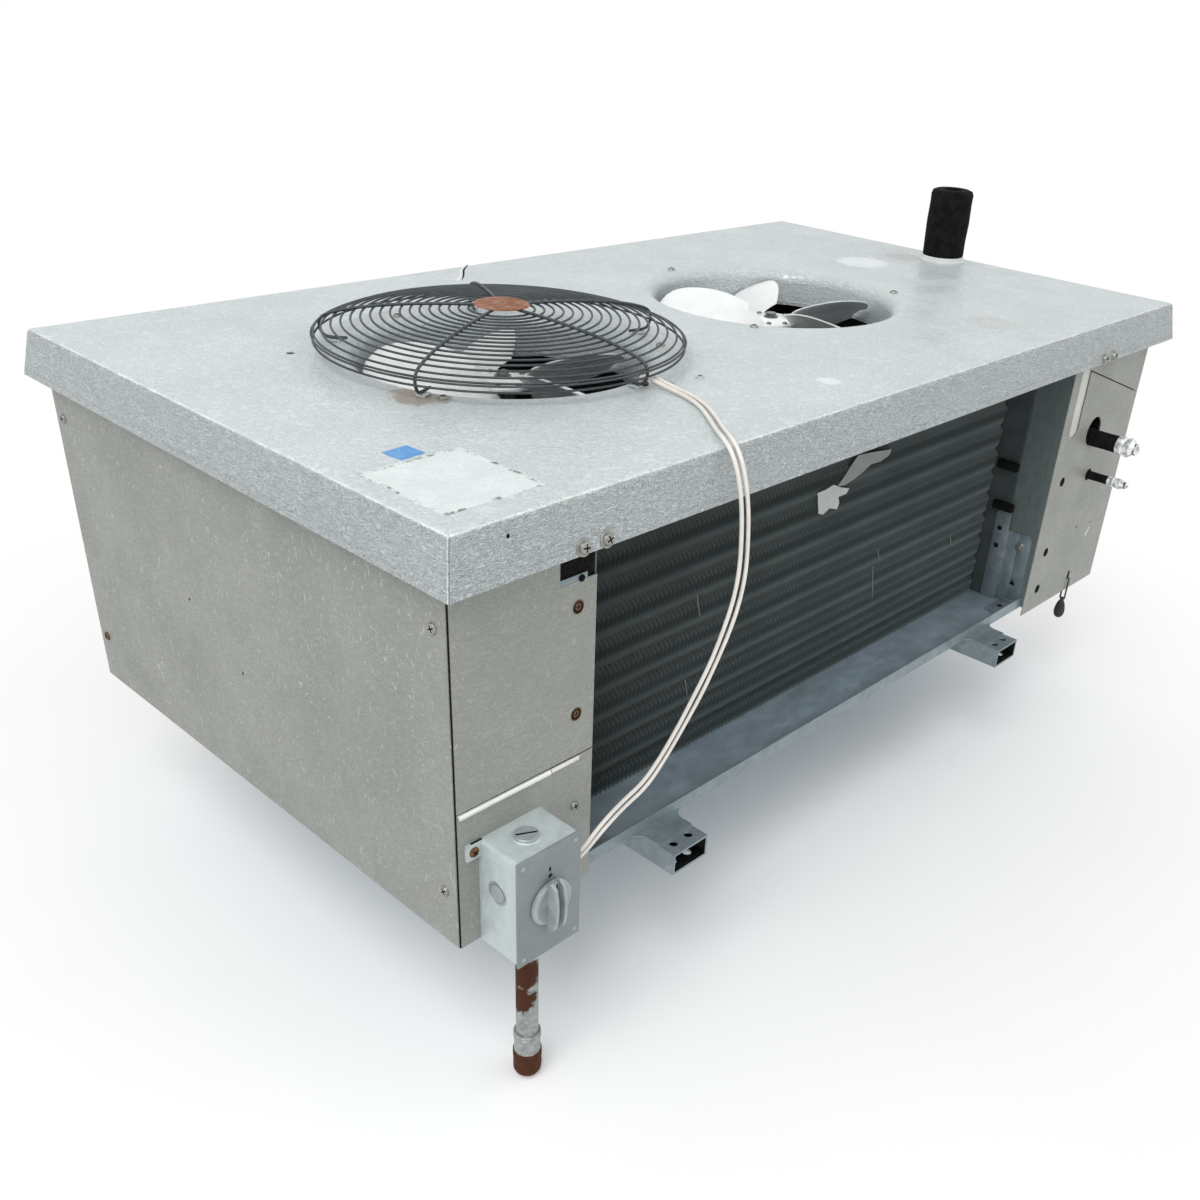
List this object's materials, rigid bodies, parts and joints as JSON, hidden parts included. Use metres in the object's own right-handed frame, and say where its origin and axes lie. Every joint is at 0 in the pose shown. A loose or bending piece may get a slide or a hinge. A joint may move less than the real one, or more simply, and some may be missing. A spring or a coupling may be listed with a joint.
{
  "type": "refrigeration evaporator",
  "caption": "Low-profile dual-discharge unit cooler: insulated-drain fan plate with wire guard, finned coils on both long sides, switch box and hanger rails.",
  "frame": {"origin": "centre of the eight hanger holes, on the mounting face of the two rails", "axes": "+X along the casing towards the drain end, +Y from the switch box's side to the far side, +Z from the rails towards the fan plate"},
  "size_m": [1.2588, 0.7641, 0.677],
  "materials": {
    "pan_aluminium": "stucco embossed",
    "casing_sheet": "stucco embossed, weathered",
    "grey_sheet": "dull",
    "coil_fin": "matte, dusty",
    "copper_tube": "satin",
    "galvanised_steel": "spangled",
    "fan_aluminium": "mill finish",
    "shaft_steel": "satin",
    "motor_paint": "satin",
    "guard_wire": "worn",
    "rusty_steel": "rusty",
    "drain_plastic": "matte",
    "grey_foam": "matte foam",
    "black_foam": "matte foam",
    "foil": "crumpled, bright",
    "cast_aluminium": "cast, dull",
    "switch_plastic": "matte",
    "conduit_steel": "zinc plated, stained",
    "screw_steel": "zinc plated",
    "hasp_wire": "dull",
    "plug_rubber": "matte",
    "lead_insulation": "matte"
  },
  "bodies": {
    "casing": {"back_left_panel": "casing_sheet", "back_right_panel": "casing_sheet", "closure_plug": "cast_aluminium", "coil_back_bends": "copper_tube", "coil_back_fins": "coil_fin", "coil_brackets": "galvanised_steel", "coil_front_bends": "copper_tube", "coil_front_fins": "coil_fin", "conduit_cap": "rusty_steel", "conduit_connector": "conduit_steel", "conduit_stub": "conduit_steel", "distributor": "copper_tube", "drain_fitting": "drain_plastic", "drain_pan": "pan_aluminium", "drain_pipe": "drain_plastic", "drain_sleeve": "grey_foam", "end_panel_left": "casing_sheet", "end_panel_right": "casing_sheet", "fan_guard_left": "guard_wire", "fan_lead_a": "lead_insulation", "fan_lead_b": "lead_insulation", "fan_motor_left": "motor_paint", "fan_motor_right": "motor_paint", "front_left_lower_panel": "casing_sheet", "front_left_upper_panel": "casing_sheet", "front_right_lower_panel": "casing_sheet", "front_right_upper_panel": "casing_sheet", "guard_clips": "galvanised_steel", "guard_hub_disc": "rusty_steel", "hanger_rail_left": "galvanised_steel", "hanger_rail_right": "galvanised_steel", "lead_grommet": "switch_plastic", "liquid_foil": "foil", "liquid_pipe": "copper_tube", "liquid_sleeve": "black_foam", "motor_mount_left": "galvanised_steel", "motor_mount_right": "galvanised_steel", "motor_screws": "screw_steel", "mounting_plate": "galvanised_steel", "panel_screws": "screw_steel", "recess_cheeks_back": "grey_sheet", "recess_cheeks_front": "grey_sheet", "rim_bolts": "screw_steel", "suction_foil": "foil", "suction_header": "copper_tube", "suction_pipe": "copper_tube", "suction_sleeve": "black_foam", "switch_body": "switch_plastic", "switch_box": "cast_aluminium", "switch_cover": "cast_aluminium", "tube_sheets_back": "grey_sheet", "tube_sheets_front": "grey_sheet"},
    "fan_left_rotor": {"fan_left": "fan_aluminium", "fan_shaft_left": "shaft_steel"},
    "fan_right_rotor": {"fan_right": "fan_aluminium", "fan_shaft_right": "shaft_steel"},
    "knob": {"switch_knob": "cast_aluminium"},
    "hanging_plug": {"hasp_loop": "hasp_wire", "drop_plug": "plug_rubber"}
  },
  "joints": [
    {"name": "fan_left_spin", "type": "hinge", "parent": "casing", "child": "fan_left_rotor", "pos_m": [-0.2425, 0, 0.392], "axis": [0, 0, 1], "continuous": true},
    {"name": "fan_right_spin", "type": "hinge", "parent": "casing", "child": "fan_right_rotor", "pos_m": [0.2095, 0, 0.392], "axis": [0, 0, 1], "continuous": true},
    {"name": "switch_turn", "type": "hinge", "parent": "casing", "child": "knob", "pos_m": [-0.5165, -0.3784, 0.075], "axis": [0, 1, 0], "range_deg": [0, 90]},
    {"name": "plug_swing", "type": "hinge", "parent": "casing", "child": "hanging_plug", "pos_m": [0.5665, -0.3265, 0.0329], "axis": [0, 1, 0], "range_deg": [-35, 35]}
  ]
}
